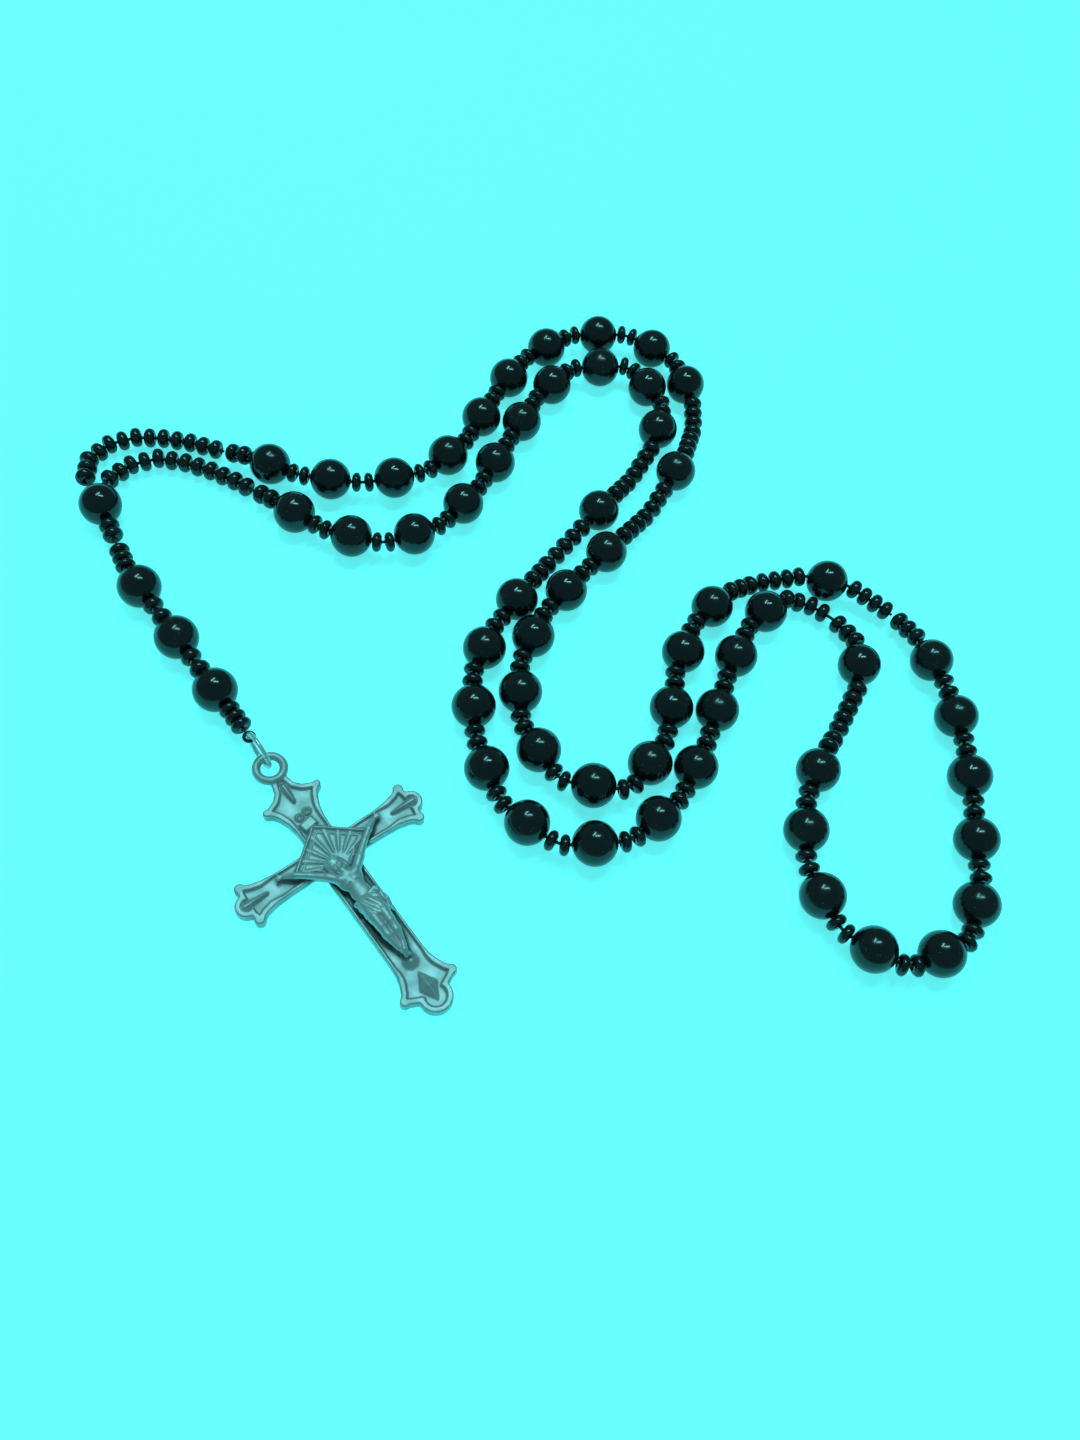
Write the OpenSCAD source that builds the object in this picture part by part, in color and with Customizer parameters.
// Five-decade cord rosary, laid out on a flat surface as a doubled loop.
// Millimetres, +Z up, the surface is z = 0.
// The cord's loop runs from the junction bead round the five decades and back.

/* [Beads] */
// Diameter of a prayer bead
bead_d = 7.4; // [7.2:0.05:7.45]
// Diameter of the hole through a prayer bead
bead_hole_d = 1; // [0.9:0.05:1.1]
// Outer diameter of a seed bead
seed_d = 3.6; // [3.4:0.05:3.6]
// Length of a seed bead along the cord, in the runs
seed_t = 2.05; // [1.9:0.05:2.05]
// Length of the seed beads in the decades' gaps and at the pendant's ends
gap_seed_t = 1.65; // [1.5:0.05:1.7]
// Diameter of the hole through a seed bead
seed_hole_d = 1.2; // [1:0.05:1.25]

/* [Cord] */
// Diameter of the stringing cord
cord_d = 0.6; // [0.5:0.05:0.7]

/* [Ring and eye] */
// Wire diameter of the jump ring
ring_wire_d = 0.8; // [0.7:0.05:0.8]
// Outer diameter of the jump ring
ring_d = 6.8; // [6.6:0.05:6.9]
// Thickness of the crucifix eye's round rim
eye_rim_d = 1.44; // [1.3:0.02:1.46]
// Diameter of the circle through the middle of the eye's rim
eye_pitch_d = 4.4; // [4.3:0.05:4.5]

/* [Crucifix] */
// Thickness of the cast cross, without its relief
cross_t = 1.8; // [1.5:0.1:2]
// Height of the frame, rays and ornaments above the cross
relief_h = 0.5; // [0.3:0.1:0.7]
// Half width of the upright below the crossing
shaft_half_w = 2.9; // [2.7:0.1:3.1]
// Depth of the figure above the cross
corpus_h = 2.4; // [2:0.1:2.6]

/* [Hidden] */
$fn = 48;
bead_r = bead_d / 2;
seed_r = seed_d / 2;
cord_r = cord_d / 2;
mouth = bead_r + 0.4;
// From a pendant bead's centre to the middle of the seed against it
gap_seed_at = 4.55;
full_seed_at = 4.75;
// Between the middles of the two seeds in a decade's gap
pair_step = 2.2;
// Extra room at the bead after the tightest bend of a run
tight_room = 0.3;
hole_exit = 2.9;
joint_gap = 1.1;
cord_gap = 0.2;
cord_start = 1;
small = 0.02;

// Centre of the laid-out rosary in the route's own coordinates
layout_centre = [0.03, 1.21];

// ---- Route of the loop, one list a stretch, at the cord's height ----
rest_z = seed_r + 0.15;
arc_1 = [[-77.5, 10, 3.7], [-80.6, 13.2, 2.8], [-81.5, 17.5, rest_z], [-79.5, 21.5, rest_z],
         [-75, 24.5, rest_z], [-67.5, 25.5, rest_z], [-61, 25, rest_z], [-55, 24, 2.4]];
decade_1 = [[-49.5, 22, 3.7], [-38.5, 21, 3.7], [-27.5, 23.5, 3.7], [-18.5, 30, 3.7],
            [-14.8, 39, 3.7], [-11.8, 50, 3.7], [-7, 61, 3.7], [3.5, 69.5, 3.7], [16.5, 69, 3.7],
            [24, 60, 3.7]];
run_1 = [[26.5, 48.5, 2.6]];
father_1 = [[24, 37.5, 3.7]];
run_2 = [[19.5, 26, 2.2]];
decade_2 = [[13.5, 16, 3.7], [7, 5.5, 3.7], [3, -4.5, 3.7], [2.5, -15.5, 3.7], [7, -26, 3.7],
            [16.5, -32, 3.7], [25.8, -26.8, 3.7], [28.5, -14.5, 3.7], [28.5, -3.5, 3.7], [33, 8.5, 3.7]];
run_3 = [[42, 16.5, 2.2]];
father_2 = [[53.5, 18.5, 3.7]];
run_4 = [[65, 15, 2.2]];
decade_3 = [[72.7, 5.2, 3.7], [77, -6, 3.7], [79, -17, 3.7], [79.5, -28, 3.7], [80, -39.5, 3.7],
            [75, -49, 3.7], [64, -51, 3.7], [55, -43.5, 3.7], [51.5, -32, 3.7], [53.2, -20.4, 3.7]];
run_5 = [[57.5, -10, 2.2]];
father_3 = [[60.5, 1.5, 3.7]];
run_6 = [[57.5, 9, 2.4], [52, 12.9, 2.2], [46.4, 13, 2.6]];
decade_4 = [[42.2, 9.8, 3.7], [38, -1.5, 3.7], [36, -12.5, 3.7], [33.5, -24, 3.7], [28.5, -35, 3.7],
            [18, -41.5, 3.7], [6.5, -39, 3.7], [-0.5, -30.5, 3.7], [-4.5, -19.5, 3.7], [-5, -8.5, 3.7],
            [-0.5, 2.5, 3.7]];
run_7 = [[4.5, 14, 2.2]];
father_4 = [[11, 25, 3.7]];
run_8 = [[16.5, 36, 2.2]];
decade_5 = [[20, 47, 3.7], [17.8, 57.3, 3.7], [8, 62.3, 3.7], [-2, 55, 3.7], [-6.2, 43, 3.7],
            [-9.5, 32, 3.7], [-13, 21.5, 3.7], [-20, 12, 3.7], [-31, 9, 3.7], [-42.5, 12.5, 3.7]];
arc_2 = [[-50, 16.5, 2.2], [-56.5, 19, rest_z], [-63.5, 20.5, rest_z], [-70, 20.5, rest_z],
         [-74.5, 17.5, rest_z], [-76.5, 13.5, 2.4], [-77.5, 10, 3.7]];

STRETCHES = [arc_1, decade_1, run_1, father_1, run_2, decade_2, run_3, father_2, run_4, decade_3,
             run_5, father_3, run_6, decade_4, run_7, father_4, run_8, decade_5, arc_2];
route = [for (stretch = STRETCHES) for (p = stretch) p];
// Number of the route point that a stretch starts at
function starts_at(k) = k == 0 ? 0 : starts_at(k - 1) + len(STRETCHES[k - 1]);
function ends_at(k) = starts_at(k) + len(STRETCHES[k]) - 1;

// ---- Smooth curve through the route and its length ----
steps = 12;
function blend_points(a, b, c, d, t) =
    0.5 * (2 * b + (c - a) * t + (2 * a - 5 * b + 4 * c - d) * t * t + (3 * b - a - 3 * c + d) * t * t * t);
curve = [for (i = [0 : len(route) - 2]) for (j = [0 : steps - 1])
    blend_points(route[max(i - 1, 0)], route[i], route[i + 1], route[min(i + 2, len(route) - 1)], j / steps),
    route[len(route) - 1]];
lengths = [for (i = 0, s = 0; i < len(curve);
    s = s + (i + 1 < len(curve) ? norm(curve[i + 1] - curve[i]) : 0), i = i + 1) s];
curve_x = [for (i = [0 : len(curve) - 1]) [lengths[i], curve[i][0]]];
curve_y = [for (i = [0 : len(curve) - 1]) [lengths[i], curve[i][1]]];
curve_z = [for (i = [0 : len(curve) - 1]) [lengths[i], curve[i][2]]];
function on_curve(s) = [lookup(s, curve_x), lookup(s, curve_y), lookup(s, curve_z)];
function station(i) = lengths[i * steps];

// ---- Where the beads sit along the loop ----
// Stretch numbers of the decades and of the Our Father beads in STRETCHES
decade_stretch = [1, 5, 9, 13, 17];
father_stretch = [3, 7, 11, 15];
decade_beads = [10, 10, 10, 11, 10];
loop_length = lengths[len(lengths) - 1];
function decade_first(d) = station(starts_at(decade_stretch[d]));
function decade_last(d) = station(ends_at(decade_stretch[d]));
function father_station(f) = station(starts_at(father_stretch[f]));

// The cord bends in the gaps between beads, which are evened out until the straight
// pieces between them are equally long; the two end pieces count as half
function chord(a, b) = norm(on_curve(b) - on_curve(a));
function evened(s, turns) = turns == 0 ? s : let (n = len(s) - 1,
    c = [for (k = [0 : n - 1]) chord(s[k], s[k + 1]) * (k == 0 || k == n - 1 ? 2 : 1)])
    evened([for (k = [0 : n]) k == 0 || k == n ? s[k] : s[k] + 0.45 * (c[k] - c[k - 1])], turns - 1);
function first_guess(d) = let (a = decade_first(d), b = decade_last(d), n = decade_beads[d] - 1)
    concat([a], [for (k = [0 : n - 1]) a + (b - a) * (k + 0.5) / n], [b]);
decade_bends = [for (d = [0 : 4]) evened(first_guess(d), 120)];
function decade_station(d, k) = k == 0 ? decade_first(d)
    : k == decade_beads[d] - 1 ? decade_last(d)
    : (decade_bends[d][k] + decade_bends[d][k + 1]) / 2;

// A run of spacer seeds:
// [bead before, bead after, seeds before the bend, seeds after it, gap at the bend]
RUNS = [
    [hole_exit - mouth, decade_first(0), 13, 2, joint_gap],
    [decade_last(0), father_station(0), 3, 4, 0.4],
    [father_station(0), decade_first(1), 3, 4, 0.4],
    [decade_last(1), father_station(1), 3, 4, 0.4],
    [father_station(1), decade_first(2), 4, 3, joint_gap],
    [decade_last(2), father_station(2), 2, 5, 0.7],
    [father_station(2), decade_first(3) - tight_room, 3, 4, joint_gap],
    [decade_last(3), father_station(3), 3, 4, 0.4],
    [father_station(3), decade_first(4), 3, 4, 0.4],
    [decade_last(4), loop_length - hole_exit + mouth, 2, 12, joint_gap]];
// Length left for each seed of a run, and the station of its bend
function seed_room(r) = (r[1] - r[0] - 2 * mouth - r[4]) / (r[2] + r[3]);
function bend_at(r) = r[0] + mouth + seed_room(r) * r[2] + r[4] / 2;
function seeds_before(r) = [for (k = [0 : r[2] - 1]) r[0] + mouth + seed_room(r) * (k + 0.5)];
function seeds_after(r) = [for (k = [0 : r[3] - 1]) bend_at(r) + r[4] / 2 + seed_room(r) * (k + 0.5)];

// ---- The cord's straight pieces: it bends only in the gaps between beads ----
// In a decade's gap it bends at both seeds, which sit on the bends
function gap_knots(d) = [for (k = [1 : decade_beads[d] - 1], side = [-1, 1])
    decade_bends[d][k] + side * pair_step / 2];
function run_knots(r) = [r[0] + mouth, bend_at(r), r[1] - mouth];
function curved_run_knots(r) = [r[0] + mouth, seeds_before(r)[1], bend_at(r),
    seeds_after(r)[1], seeds_after(r)[2], r[1] - mouth];
function every_second(seeds, first) = [for (k = [first : 2 : len(seeds) - 1]) seeds[k]];
knots = concat(
    [0, hole_exit], every_second(seeds_before(RUNS[0]), 0), [bend_at(RUNS[0]), RUNS[0][1] - mouth],
    gap_knots(0), run_knots(RUNS[1]), run_knots(RUNS[2]),
    gap_knots(1), run_knots(RUNS[3]), run_knots(RUNS[4]),
    gap_knots(2), run_knots(RUNS[5]), curved_run_knots(RUNS[6]),
    gap_knots(3), run_knots(RUNS[7]), run_knots(RUNS[8]),
    gap_knots(4), [RUNS[9][0] + mouth, bend_at(RUNS[9])],
    every_second(seeds_after(RUNS[9]), 1), [loop_length - hole_exit, loop_length]);
knot_x = [for (s = knots) [s, on_curve(s)[0]]];
knot_y = [for (s = knots) [s, on_curve(s)[1]]];
// Beside a bead the cord is level with the bead's centre; in a run it may sag
bead_stations = concat([for (d = [0 : 4]) for (k = [0 : decade_beads[d] - 1]) decade_station(d, k)],
    [for (f = [0 : 3]) father_station(f)]);
near_bead = 7;
function beside_a_bead(s) = min([for (b = bead_stations) abs(s - b)]) < near_bead;
knot_z = [for (s = knots) [s, beside_a_bead(s) ? bead_r : on_curve(s)[2]]];
function on_cord(s) = [lookup(s, knot_x), lookup(s, knot_y), lookup(s, knot_z)];
function unit(v) = v / norm(v);
function cord_direction(s) = unit(on_cord(s + 0.1) - on_cord(s - 0.1));
function knots_between(a, b) = [for (s = knots) if (s > a + 0.3 && s < b - 0.3) s];

// ---- The pendant: a straight line from its first bead to the crucifix ----
pendant_turn = 46.5;
pendant_dir = [sin(pendant_turn), -cos(pendant_turn), 0];
pendant_start = [-63.7, -8.3, 0];
pendant_beads = [0, 12.4, 24.7];
ring_mid = pendant_beads[2] + 13.4;
ring_pitch_r = (ring_d - ring_wire_d) / 2;
ring_z = ring_d / 2 + 0.05;
eye_z = 1.75;
// The eye's rim hangs in the ring on this point, which the crucifix tilts about
hook = ring_mid + 0.68;
eye_mid = hook + eye_pitch_d / 2;
function on_pendant(s, z = 0) = pendant_start + pendant_dir * s + [0, 0, z];
junction_at = [-75.5, 7, 3.7];
pendant_entry = on_pendant(-mouth, bead_r);
stub_dir = unit(pendant_entry - junction_at);
stub_length = norm(pendant_entry - junction_at);
stub_bend = mouth + 2 * (seed_t + 0.1) + 0.7;
fold_1 = 6.2;
fold_2 = 18.55;
tail_end = pendant_beads[2] + 9.3;

// ---- Shared shapes ----
// Turns a shape that stands along Z so that it lies along a direction
module along(at, dir) {
    translate([at[0] - layout_centre[0], at[1] - layout_centre[1], at[2]])
        rotate([0, acos(dir[2]), atan2(dir[1], dir[0])])
            children();
}

module bead() {
    difference() {
        sphere(d = bead_d);
        cylinder(d = bead_hole_d, h = bead_d + 1, center = true);
    }
}

module seed(t = seed_t) {
    rotate_extrude()
        difference() {
            translate([seed_r - t / 2, 0]) circle(d = t);
            translate([-seed_d, -t]) square([seed_d + seed_hole_d / 2, 2 * t]);
        }
}

module beads_on_cord(stations) color([0.02, 0.02, 0.02])
    for (s = stations) along(on_cord(s), cord_direction(s)) bead();

module seeds_on_cord(stations, t = seed_t) color([0.03, 0.03, 0.03])
    for (s = stations) along(on_cord(s), cord_direction(s)) seed(t);

module run_seeds(r) seeds_on_cord(concat(seeds_before(r), seeds_after(r)));

module decade_group(d) beads_on_cord([for (k = [0 : decade_beads[d] - 1]) decade_station(d, k)]);

module decade_seed_group(d) seeds_on_cord(gap_knots(d), gap_seed_t);

// A round cord swept along a list of points
module cord_tube(points, sides = 8) {
    n = len(points);
    dirs = [for (i = [0 : n - 1]) unit(points[min(i + 1, n - 1)] - points[max(i - 1, 0)])];
    rings = [for (i = [0 : n - 1]) for (j = [0 : sides - 1]) let (
        side = unit([-dirs[i][1], dirs[i][0], 0]),
        up = cross(dirs[i], side),
        a = 360 * j / sides) points[i] + cord_r * (cos(a) * side + sin(a) * up)];
    walls = [for (i = [0 : n - 2]) for (j = [0 : sides - 1])
        [i * sides + j, i * sides + (j + 1) % sides, (i + 1) * sides + (j + 1) % sides, (i + 1) * sides + j]];
    ends = [[for (j = [sides - 1 : -1 : 0]) j], [for (j = [0 : sides - 1]) (n - 1) * sides + j]];
    color([0.05, 0.05, 0.05])
        translate([-layout_centre[0], -layout_centre[1], 0])
            polyhedron(rings, concat(walls, ends), convexity = 4);
}

module loop_cord(a, b) cord_tube([for (s = concat([a], knots_between(a, b), [b])) on_cord(s)]);

module pendant_cord(a, b) cord_tube([on_pendant(a, bead_r), on_pendant(b, bead_r)]);

module pendant_bead(k) color([0.02, 0.02, 0.02])
    along(on_pendant(pendant_beads[k], bead_r), pendant_dir) bead();

module pendant_seed(s, t = seed_t) color([0.03, 0.03, 0.03])
    along(on_pendant(s, bead_r), pendant_dir) seed(t);

module stub_seed(s, t = seed_t) color([0.03, 0.03, 0.03])
    along(junction_at + stub_dir * s, stub_dir) seed(t);

// ---- Beads ----
module junction_bead() color([0.02, 0.02, 0.02])
    along(junction_at, stub_dir) bead();

module our_father_bead(f) beads_on_cord([father_station(f)]);

// ---- Metal ----
module jump_ring() color([0.72, 0.72, 0.72])
    along(on_pendant(ring_mid, ring_z), [cos(pendant_turn), sin(pendant_turn), 0])
        rotate_extrude() translate([ring_pitch_r, 0]) circle(d = ring_wire_d);

// Small loop at the cord's end, round the wire of the jump ring
cord_eye_r = ring_wire_d / 2 + cord_r + 0.1;
module cord_eye() color([0.05, 0.05, 0.05])
    along(on_pendant(ring_mid - ring_pitch_r, ring_z), [0, 0, 1])
        rotate_extrude() translate([cord_eye_r, 0]) circle(r = cord_r);

// The crucifix is drawn upright, its eye at the origin and its foot at -Y
crossing_y = -17.6;
foot_y = -43.5;
arm_half_w = 2.1;
arm_root = 5;
arm_end = 14;
arm_end_half_w = 3.1;
top_tip = [5, -6.2];
foot_half_w = 4.9;
frame_half = [6.3, 5.2];

module place_crucifix() along(on_pendant(eye_mid), [0, 0, 1]) rotate(pendant_turn) children();

// Half outline of a flared end, from its narrow root to its wide tip
function flare(from, to, w0, w1, n = 6) =
    [for (k = [0 : n]) [w0 + (w1 - w0) * pow(k / n, 2.2), from + (to - from) * k / n]];
module flared_end(from, to, w0, w1) {
    side = flare(from, to, w0, w1);
    polygon(concat(side, [for (k = [len(side) - 1 : -1 : 0]) [-side[k][0], side[k][1]]]));
}

module cross_outline() {
    translate([-shaft_half_w, foot_y + 5]) square([2 * shaft_half_w, -8 - foot_y + crossing_y + 3]);
    polygon([[0, crossing_y + frame_half[1] + 0.5], [frame_half[0] + 0.5, crossing_y],
             [0, crossing_y - frame_half[1] - 0.5], [-frame_half[0] - 0.5, crossing_y]]);
    flared_end(crossing_y + 4, top_tip[1], 2.5, top_tip[0] - 0.4);
    polygon([[-4.2, -6.4], [-2.7, -5.2], [-1.6, -2.2], [1.6, -2.2], [2.7, -5.2], [4.2, -6.4], [0, -8]]);
    for (x = [-1, 1]) translate([x * (top_tip[0] - 0.6), top_tip[1] - 0.1]) circle(r = 0.6);
    flared_end(foot_y + 5.5, foot_y + 0.2, shaft_half_w, foot_half_w - 0.3);
    for (x = [-1, 1]) translate([x * (foot_half_w - 0.8), foot_y]) circle(r = 0.8);
    translate([-3.4, foot_y - 1.4]) square([6.8, 3]);
    translate([0, foot_y - 2]) circle(r = 2.6);
    for (turn = [-90, 90]) translate([0, crossing_y]) rotate(turn) {
        flared_end(arm_root - 2, arm_end, arm_half_w, arm_end_half_w);
        for (x = [-1, 1]) translate([x * 2.7, arm_end - 0.2]) circle(r = 0.9);
        translate([0, arm_end + 0.9]) circle(r = 1.8);
    }
}

// Four bars of the square frame behind the figure
module frame_bars() {
    bar = norm(frame_half);
    lean = atan2(frame_half[1], frame_half[0]);
    for (side = [0, 1], flip = [0, 1]) translate([0, crossing_y, cross_t - small])
        mirror([side, 0, 0]) mirror([0, flip, 0])
            translate([0, frame_half[1], 0]) rotate(-lean) translate([0, -0.3, 0]) cube([bar, 0.6, relief_h]);
}

module ray_burst() {
    head_y = crossing_y - 2.4;
    for (a = [20 : 20 : 160]) translate([0, head_y, cross_t - small]) rotate(a)
        linear_extrude(relief_h / 2) polygon([[2.2, -0.1], [4.4, -0.35], [4.4, 0.35], [2.2, 0.1]]);
}

module drop_ornament(from, to) {
    linear_extrude(relief_h) polygon([[-0.25, to], [-0.7, from], [0.7, from], [0.25, to]]);
    translate([0, from, 0]) cylinder(r = 0.7, h = relief_h);
    translate([0, to, 0]) cylinder(r = 0.25, h = relief_h);
}

module crucifix_cross() color([0.72, 0.72, 0.72]) place_crucifix() {
    difference() {
        linear_extrude(cross_t) cross_outline();
        cylinder(d = eye_pitch_d, h = 9, center = true);
    }
    translate([0, 0, eye_z]) rotate_extrude() translate([eye_pitch_d / 2, 0]) circle(d = eye_rim_d);
    frame_bars();
    ray_burst();
    translate([0, 0, cross_t - small]) {
        drop_ornament(-4.3, -7);
        for (turn = [-90, 90]) translate([0, crossing_y, 0]) rotate(turn) drop_ornament(15, 11.5);
        translate([0, foot_y, 0]) scale([0.6, 1, 1]) cylinder(r1 = 2.6, r2 = 0.1, h = 1, $fn = 4);
        translate([0, -11.7, 0]) rotate(45) cube([1.6, 1.6, 2 * relief_h], center = true);
        translate([0, foot_y + 4.5, 0]) cylinder(r = 1.5, h = relief_h);
    }
}

// A limb or a body part with round ends
module limb(a, b, ra, rb) hull() {
    translate(a) sphere(r = ra, $fn = 16);
    translate(b) sphere(r = rb, $fn = 16);
}

// The figure lies on the cross, cut flat where it meets it
module crucifix_corpus() {
    z = cross_t + relief_h + 0.1;
    head = [-0.3, crossing_y - 2.9, z + 1.3];
    neck = [0, crossing_y - 4.4, z + 0.6];
    hip = [0, crossing_y - 10.6, z + 0.7];
    knee = [0.1, crossing_y - 14.6, z + 1.3];
    ankle = [0, crossing_y - 18.7, z + 0.5];
    color([0.75, 0.75, 0.75]) place_crucifix() intersection() {
        union() {
            translate(head) sphere(r = 1.15, $fn = 20);
            limb(neck, hip, 1.15, 1.05);
            for (x = [-1, 1]) {
                elbow = [x * 5, crossing_y - 1.4, z + 0.5];
                hand = [x * 8.8, crossing_y + 0.7, z + 0.35];
                limb([x * 1.3, crossing_y - 4.5, z + 0.6], elbow, 0.7, 0.5);
                limb(elbow, hand, 0.5, 0.35);
                limb([x * 0.55, hip[1], hip[2]], knee + [x * 0.5, 0, 0], 0.8, 0.65);
                limb(knee + [x * 0.5, 0, 0], ankle + [x * 0.2, 0, 0], 0.6, 0.45);
            }
            limb([-0.7, crossing_y - 9, z + 0.8], [0.7, crossing_y - 11.4, z + 0.8], 1.1, 1.1);
        }
        translate([-12, -40, z - 0.1]) cube([24, 30, corpus_h + 1]);
    }
    // It stands on three small studs, behind the hands and the feet
    color([0.75, 0.75, 0.75]) place_crucifix()
        for (at = [[-8.8, crossing_y + 0.7], [8.8, crossing_y + 0.7], [0, crossing_y - 18.7]])
            translate([at[0], at[1], cross_t]) cylinder(r = 0.3, h = relief_h + 0.3, $fn = 12);
}

junction_bead();
pendant_bead(0);  // pendant_bead_1
pendant_bead(1);  // pendant_bead_2
pendant_bead(2);  // pendant_bead_3
our_father_bead(0);  // our_father_bead_1
our_father_bead(1);  // our_father_bead_2
our_father_bead(2);  // our_father_bead_3
our_father_bead(3);  // our_father_bead_4
decade_group(0);  // decade_1_beads
decade_group(1);  // decade_2_beads
decade_group(2);  // decade_3_beads
decade_group(3);  // decade_4_beads
decade_group(4);  // decade_5_beads
decade_seed_group(0);  // decade_1_seeds
decade_seed_group(1);  // decade_2_seeds
decade_seed_group(2);  // decade_3_seeds
decade_seed_group(3);  // decade_4_seeds
decade_seed_group(4);  // decade_5_seeds
run_seeds(RUNS[1]);  // spacer_seeds_1
run_seeds(RUNS[2]);  // spacer_seeds_2
run_seeds(RUNS[3]);  // spacer_seeds_3
seeds_on_cord(seeds_before(RUNS[4]));  // spacer_seeds_4
seeds_on_cord(seeds_after(RUNS[4]));  // spacer_seeds_4_end
seeds_on_cord(seeds_before(RUNS[5]));  // spacer_seeds_5_end
seeds_on_cord(seeds_after(RUNS[5]));  // spacer_seeds_5
run_seeds(RUNS[6]);  // spacer_seeds_6
run_seeds(RUNS[7]);  // spacer_seeds_7
run_seeds(RUNS[8]);  // spacer_seeds_8
seeds_on_cord(seeds_before(RUNS[0]));  // junction_seeds_out
seeds_on_cord(seeds_after(RUNS[0]));  // junction_seeds_out_loop
seeds_on_cord(seeds_after(RUNS[9]));  // junction_seeds_back
seeds_on_cord(seeds_before(RUNS[9]));  // junction_seeds_back_loop
for (k = [0, 1]) stub_seed(mouth + seed_t / 2 + k * (seed_t + 0.1));  // pendant_seeds_junction
union() {  // pendant_seeds_1
    for (k = [0, 1, 2]) stub_seed(stub_length - gap_seed_t / 2 - k * (gap_seed_t + 0.1), gap_seed_t);
    pendant_seed(pendant_beads[0] + full_seed_at);
}
union() {  // pendant_seeds_2
    pendant_seed(pendant_beads[1] - full_seed_at);
    pendant_seed(pendant_beads[1] + full_seed_at);
}
union() {  // pendant_seeds_3
    pendant_seed(pendant_beads[2] - full_seed_at);
    for (k = [0, 1, 2]) pendant_seed(pendant_beads[2] + gap_seed_at + k * (gap_seed_t + 0.1), gap_seed_t);
}
loop_cord(bend_at(RUNS[0]) + cord_gap, bend_at(RUNS[4]) - cord_gap);  // loop_cord_out
loop_cord(bend_at(RUNS[4]) + cord_gap, bend_at(RUNS[5]) - cord_gap);  // loop_cord_end
loop_cord(bend_at(RUNS[5]) + cord_gap, bend_at(RUNS[9]) - cord_gap);  // loop_cord_back
loop_cord(cord_start, bend_at(RUNS[0]) - cord_gap);  // junction_cord_out
loop_cord(bend_at(RUNS[9]) + cord_gap, loop_length - cord_start);  // junction_cord_back
cord_tube([junction_at - stub_dir * mouth, junction_at + stub_dir * (stub_bend - cord_gap)]);  // pendant_cord_junction
cord_tube([junction_at + stub_dir * (stub_bend + cord_gap), pendant_entry,  // pendant_cord_1
        on_pendant(fold_1 - cord_gap, bead_r)]);
pendant_cord(fold_1 + cord_gap, fold_2 - cord_gap);  // pendant_cord_2
pendant_cord(fold_2 + cord_gap, tail_end);  // pendant_cord_3
cord_eye();
jump_ring();
crucifix_cross();
crucifix_corpus();
